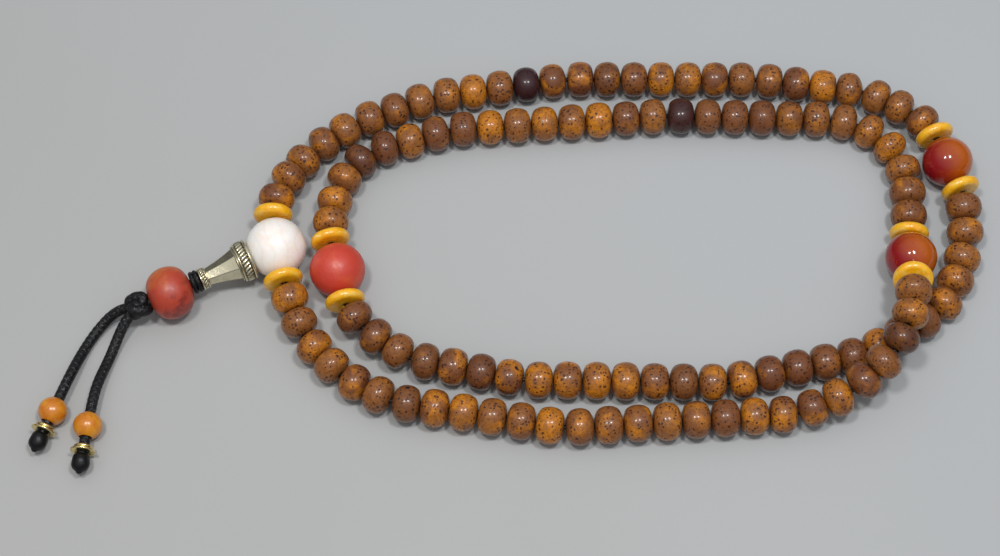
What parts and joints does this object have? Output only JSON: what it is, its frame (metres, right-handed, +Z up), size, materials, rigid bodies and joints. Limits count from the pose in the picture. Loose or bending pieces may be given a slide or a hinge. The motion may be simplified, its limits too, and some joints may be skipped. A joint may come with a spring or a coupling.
{
  "type": "mala prayer beads",
  "caption": "String of round speckled seeds with marker beads, discs, a guru bead, metal cone and a tassel of two beaded cord tails, laid as a doubled loop.",
  "frame": {"origin": "on the table under the middle of the whole lay", "axes": "+X along the long way of the loop, from the tassel towards the far end; +Y across it; +Z up"},
  "size_m": [0.1977, 0.0961, 0.0161],
  "materials": {
    "seed": "gloss",
    "black_cord": "satin",
    "shell": "satin",
    "agate": "gloss",
    "coral": "satin",
    "amber": "gloss",
    "brass": "satin",
    "orange_stone": "gloss"
  },
  "bodies": {
    "strung": {"string": "black_cord", "guru_bead": "shell", "tassel_knot": "black_cord", "tail_cord_1": "black_cord", "tail_cord_2": "black_cord", "end_knots": "black_cord"},
    "disc_1": {"disc_1": "amber"},
    "seeds_1": {"seeds_1": "seed"},
    "seeds_2": {"seeds_2": "seed"},
    "seeds_3": {"seeds_3": "seed"},
    "seeds_4": {"seeds_4": "seed"},
    "seeds_5": {"seeds_5": "seed"},
    "seeds_6": {"seeds_6": "seed"},
    "seeds_7": {"seeds_7": "seed"},
    "seeds_8": {"seeds_8": "seed"},
    "seeds_9": {"seeds_9": "seed"},
    "agate_marker_1": {"agate_marker_1": "agate"},
    "agate_discs": {"agate_discs": "amber"},
    "seeds_10": {"seeds_10": "seed"},
    "seeds_11": {"seeds_11": "seed"},
    "seeds_12": {"seeds_12": "seed"},
    "seeds_13": {"seeds_13": "seed"},
    "seeds_14": {"seeds_14": "seed"},
    "seeds_15": {"seeds_15": "seed"},
    "seeds_16": {"seeds_16": "seed"},
    "seeds_17": {"seeds_17": "seed"},
    "seeds_18": {"seeds_18": "seed"},
    "coral_marker": {"coral_marker": "coral"},
    "coral_discs": {"coral_discs": "amber"},
    "seeds_19": {"seeds_19": "seed"},
    "seeds_20": {"seeds_20": "seed"},
    "seeds_21": {"seeds_21": "seed"},
    "seeds_22": {"seeds_22": "seed"},
    "seeds_23": {"seeds_23": "seed"},
    "seeds_24": {"seeds_24": "seed"},
    "seeds_25": {"seeds_25": "seed"},
    "seeds_26": {"seeds_26": "seed"},
    "seeds_27": {"seeds_27": "seed"},
    "seeds_28": {"seeds_28": "seed"},
    "seeds_29": {"seeds_29": "seed"},
    "disc_2": {"disc_2": "amber"},
    "agate_marker_2": {"agate_marker_2": "agate"},
    "disc_3": {"disc_3": "amber"},
    "seeds_30": {"seeds_30": "seed"},
    "seeds_31": {"seeds_31": "seed"},
    "seeds_32": {"seeds_32": "seed"},
    "seeds_33": {"seeds_33": "seed"},
    "seeds_34": {"seeds_34": "seed"},
    "seeds_35": {"seeds_35": "seed"},
    "seeds_36": {"seeds_36": "seed"},
    "seeds_37": {"seeds_37": "seed"},
    "seeds_38": {"seeds_38": "seed"},
    "seeds_39": {"seeds_39": "seed"},
    "disc_4": {"disc_4": "amber"},
    "guru_cone": {"guru_cone": "brass"},
    "tassel_bead": {"tassel_bead": "coral"},
    "tail_ring_1": {"tail_ring_1": "brass"},
    "tail_bead_1": {"tail_bead_1": "orange_stone"},
    "tail_ring_2": {"tail_ring_2": "brass"},
    "tail_bead_2": {"tail_bead_2": "orange_stone"}
  },
  "joints": [
    {"name": "disc_1_spin", "type": "hinge", "parent": "strung", "child": "disc_1", "pos_m": [-0.05161, 0.00887, 0.0064], "axis": [-0.0081, 1, -0.0001], "continuous": true},
    {"name": "seeds_1_spin", "type": "hinge", "parent": "strung", "child": "seeds_1", "pos_m": [-0.05108, 0.01303, 0.00598], "axis": [0.185, 0.9726, -0.1405], "continuous": true},
    {"name": "seeds_2_spin", "type": "hinge", "parent": "strung", "child": "seeds_2", "pos_m": [-0.04741, 0.02081, 0.00478], "axis": [0.5312, 0.8366, -0.1337], "continuous": true},
    {"name": "seeds_3_spin", "type": "hinge", "parent": "strung", "child": "seeds_3", "pos_m": [-0.03956, 0.02928, 0.004], "axis": [0.7996, 0.6006, 0], "continuous": true},
    {"name": "seeds_4_spin", "type": "hinge", "parent": "strung", "child": "seeds_4", "pos_m": [-0.02656, 0.03619, 0.004], "axis": [0.9266, 0.3761, 0], "continuous": true},
    {"name": "seeds_5_spin", "type": "hinge", "parent": "strung", "child": "seeds_5", "pos_m": [-0.00365, 0.04182, 0.004], "axis": [0.9881, 0.1538, 0], "continuous": true},
    {"name": "seeds_6_spin", "type": "hinge", "parent": "strung", "child": "seeds_6", "pos_m": [0.03183, 0.04406, 0.004], "axis": [1, -0.0019, 0], "continuous": true},
    {"name": "seeds_7_spin", "type": "hinge", "parent": "strung", "child": "seeds_7", "pos_m": [0.06442, 0.04246, 0.004], "axis": [0.9913, -0.1314, 0], "continuous": true},
    {"name": "seeds_8_spin", "type": "hinge", "parent": "strung", "child": "seeds_8", "pos_m": [0.08122, 0.03788, 0.00452], "axis": [0.8537, -0.5133, 0.0882], "continuous": true},
    {"name": "seeds_9_spin", "type": "hinge", "parent": "strung", "child": "seeds_9", "pos_m": [0.08811, 0.03255, 0.00527], "axis": [0.6262, -0.7758, 0.0775], "continuous": true},
    {"name": "agate_marker_1_spin", "type": "hinge", "parent": "strung", "child": "agate_marker_1", "pos_m": [0.09251, 0.02231, 0.0055], "axis": [0.3048, -0.9524, -0.0001], "continuous": true},
    {"name": "agate_discs_spin", "type": "hinge", "parent": "strung", "child": "agate_discs", "pos_m": [0.09251, 0.02231, 0.0055], "axis": [0.3048, -0.9524, -0.0001], "continuous": true},
    {"name": "seeds_10_spin", "type": "hinge", "parent": "strung", "child": "seeds_10", "pos_m": [0.0949, 0.00848, 0.00484], "axis": [-0.0264, -0.9934, -0.1117], "continuous": true},
    {"name": "seeds_11_spin", "type": "hinge", "parent": "strung", "child": "seeds_11", "pos_m": [0.09269, -0.00295, 0.00409], "axis": [-0.3466, -0.9379, -0.0149], "continuous": true},
    {"name": "seeds_12_spin", "type": "hinge", "parent": "strung", "child": "seeds_12", "pos_m": [0.08881, -0.01083, 0.004], "axis": [-0.6171, -0.7869, 0], "continuous": true},
    {"name": "seeds_13_spin", "type": "hinge", "parent": "strung", "child": "seeds_13", "pos_m": [0.07941, -0.01771, 0.004], "axis": [-0.8574, -0.5146, 0], "continuous": true},
    {"name": "seeds_14_spin", "type": "hinge", "parent": "strung", "child": "seeds_14", "pos_m": [0.05735, -0.02552, 0.004], "axis": [-0.9755, -0.2198, 0], "continuous": true},
    {"name": "seeds_15_spin", "type": "hinge", "parent": "strung", "child": "seeds_15", "pos_m": [0.02207, -0.02851, 0.004], "axis": [-0.9999, 0.013, 0], "continuous": true},
    {"name": "seeds_16_spin", "type": "hinge", "parent": "strung", "child": "seeds_16", "pos_m": [-0.01035, -0.02586, 0.004], "axis": [-0.9796, 0.2009, 0], "continuous": true},
    {"name": "seeds_17_spin", "type": "hinge", "parent": "strung", "child": "seeds_17", "pos_m": [-0.0269, -0.02034, 0.00467], "axis": [-0.8388, 0.5325, 0.1134], "continuous": true},
    {"name": "seeds_18_spin", "type": "hinge", "parent": "strung", "child": "seeds_18", "pos_m": [-0.03361, -0.01485, 0.00562], "axis": [-0.5955, 0.7977, 0.0953], "continuous": true},
    {"name": "coral_marker_spin", "type": "hinge", "parent": "strung", "child": "coral_marker", "pos_m": [-0.03754, -0.004, 0.0059], "axis": [-0.2477, 0.9688, -0.0001], "continuous": true},
    {"name": "coral_discs_spin", "type": "hinge", "parent": "strung", "child": "coral_discs", "pos_m": [-0.03754, -0.004, 0.0059], "axis": [-0.2477, 0.9688, -0.0001], "continuous": true},
    {"name": "seeds_19_spin", "type": "hinge", "parent": "strung", "child": "seeds_19", "pos_m": [-0.03909, 0.0103, 0.00505], "axis": [0.105, 0.9842, -0.1429], "continuous": true},
    {"name": "seeds_20_spin", "type": "hinge", "parent": "strung", "child": "seeds_20", "pos_m": [-0.03707, 0.01872, 0.00411], "axis": [0.4733, 0.8802, -0.0356], "continuous": true},
    {"name": "seeds_21_spin", "type": "hinge", "parent": "strung", "child": "seeds_21", "pos_m": [-0.0336, 0.02345, 0.004], "axis": [0.6981, 0.716, 0], "continuous": true},
    {"name": "seeds_22_spin", "type": "hinge", "parent": "strung", "child": "seeds_22", "pos_m": [-0.0231, 0.02834, 0.004], "axis": [0.9499, 0.3125, 0], "continuous": true},
    {"name": "seeds_23_spin", "type": "hinge", "parent": "strung", "child": "seeds_23", "pos_m": [0.00906, 0.03292, 0.004], "axis": [0.9971, 0.0757, 0], "continuous": true},
    {"name": "seeds_24_spin", "type": "hinge", "parent": "strung", "child": "seeds_24", "pos_m": [0.0506, 0.03426, 0.004], "axis": [0.9997, -0.0262, 0], "continuous": true},
    {"name": "seeds_25_spin", "type": "hinge", "parent": "strung", "child": "seeds_25", "pos_m": [0.07129, 0.03309, 0.004], "axis": [0.9716, -0.2366, 0], "continuous": true},
    {"name": "seeds_26_spin", "type": "hinge", "parent": "strung", "child": "seeds_26", "pos_m": [0.07664, 0.03074, 0.004], "axis": [0.8313, -0.5559, 0], "continuous": true},
    {"name": "seeds_27_spin", "type": "hinge", "parent": "strung", "child": "seeds_27", "pos_m": [0.08077, 0.02667, 0.004], "axis": [0.5682, -0.8229, 0], "continuous": true},
    {"name": "seeds_28_spin", "type": "hinge", "parent": "strung", "child": "seeds_28", "pos_m": [0.08309, 0.02134, 0.00404], "axis": [0.216, -0.9763, 0.0123], "continuous": true},
    {"name": "seeds_29_spin", "type": "hinge", "parent": "strung", "child": "seeds_29", "pos_m": [0.08341, 0.01252, 0.00431], "axis": [-0.0535, -0.9978, 0.0402], "continuous": true},
    {"name": "disc_2_spin", "type": "hinge", "parent": "strung", "child": "disc_2", "pos_m": [0.08297, 0.00533, 0.00455], "axis": [-0.1011, -0.9949, 0], "continuous": true},
    {"name": "agate_marker_2_spin", "type": "hinge", "parent": "strung", "child": "agate_marker_2", "pos_m": [0.08235, -0.00128, 0.00647], "axis": [-0.0853, -0.9377, 0.3368], "continuous": true},
    {"name": "disc_3_spin", "type": "hinge", "parent": "strung", "child": "disc_3", "pos_m": [0.08176, -0.0077, 0.00906], "axis": [-0.0847, -0.8456, 0.527], "continuous": true},
    {"name": "seeds_30_spin", "type": "hinge", "parent": "strung", "child": "seeds_30", "pos_m": [0.08117, -0.01147, 0.01087], "axis": [-0.164, -0.9085, 0.3843], "continuous": true},
    {"name": "seeds_31_spin", "type": "hinge", "parent": "strung", "child": "seeds_31", "pos_m": [0.07981, -0.01699, 0.0121], "axis": [-0.2922, -0.9559, 0.0307], "continuous": true},
    {"name": "seeds_32_spin", "type": "hinge", "parent": "strung", "child": "seeds_32", "pos_m": [0.07755, -0.02236, 0.01161], "axis": [-0.4737, -0.859, -0.1944], "continuous": true},
    {"name": "seeds_33_spin", "type": "hinge", "parent": "strung", "child": "seeds_33", "pos_m": [0.07193, -0.02843, 0.00895], "axis": [-0.7173, -0.599, -0.3559], "continuous": true},
    {"name": "seeds_34_spin", "type": "hinge", "parent": "strung", "child": "seeds_34", "pos_m": [0.06228, -0.03383, 0.00546], "axis": [-0.9183, -0.3181, -0.2355], "continuous": true},
    {"name": "seeds_35_spin", "type": "hinge", "parent": "strung", "child": "seeds_35", "pos_m": [0.03316, -0.03723, 0.00403], "axis": [-0.9979, -0.0641, -0.0014], "continuous": true},
    {"name": "seeds_36_spin", "type": "hinge", "parent": "strung", "child": "seeds_36", "pos_m": [-0.00809, -0.03589, 0.004], "axis": [-0.9869, 0.1612, 0], "continuous": true},
    {"name": "seeds_37_spin", "type": "hinge", "parent": "strung", "child": "seeds_37", "pos_m": [-0.03084, -0.03016, 0.004], "axis": [-0.8759, 0.4825, 0], "continuous": true},
    {"name": "seeds_38_spin", "type": "hinge", "parent": "strung", "child": "seeds_38", "pos_m": [-0.03998, -0.0229, 0.00412], "axis": [-0.6682, 0.7437, 0.0202], "continuous": true},
    {"name": "seeds_39_spin", "type": "hinge", "parent": "strung", "child": "seeds_39", "pos_m": [-0.04615, -0.01312, 0.00532], "axis": [-0.3738, 0.9094, 0.1824], "continuous": true},
    {"name": "disc_4_spin", "type": "hinge", "parent": "strung", "child": "disc_4", "pos_m": [-0.04872, -0.00652, 0.0064], "axis": [-0.2805, 0.9599, 0.0012], "continuous": true},
    {"name": "guru_cone_spin", "type": "hinge", "parent": "strung", "child": "guru_cone", "pos_m": [-0.06094, -0.00383, 0.00602], "axis": [-0.9021, -0.4303, -0.0335], "continuous": true},
    {"name": "tassel_bead_spin", "type": "hinge", "parent": "strung", "child": "tassel_bead", "pos_m": [-0.07212, -0.00916, 0.0056], "axis": [-0.9021, -0.4303, -0.0335], "continuous": true},
    {"name": "tail_ring_1_slide", "type": "slide", "parent": "strung", "child": "tail_ring_1", "axis": [0.3256, 0.9455, 0], "range_m": [0, 0.004]},
    {"name": "tail_bead_1_spin", "type": "hinge", "parent": "tail_ring_1", "child": "tail_bead_1", "pos_m": [-0.09586, -0.03859, 0.003], "axis": [-0.3256, -0.9455, 0], "continuous": true},
    {"name": "tail_ring_2_slide", "type": "slide", "parent": "strung", "child": "tail_ring_2", "axis": [0.0872, 0.9962, 0], "range_m": [0, 0.004]},
    {"name": "tail_bead_2_spin", "type": "hinge", "parent": "tail_ring_2", "child": "tail_bead_2", "pos_m": [-0.08755, -0.04305, 0.003], "axis": [-0.0872, -0.9962, 0], "continuous": true}
  ]
}
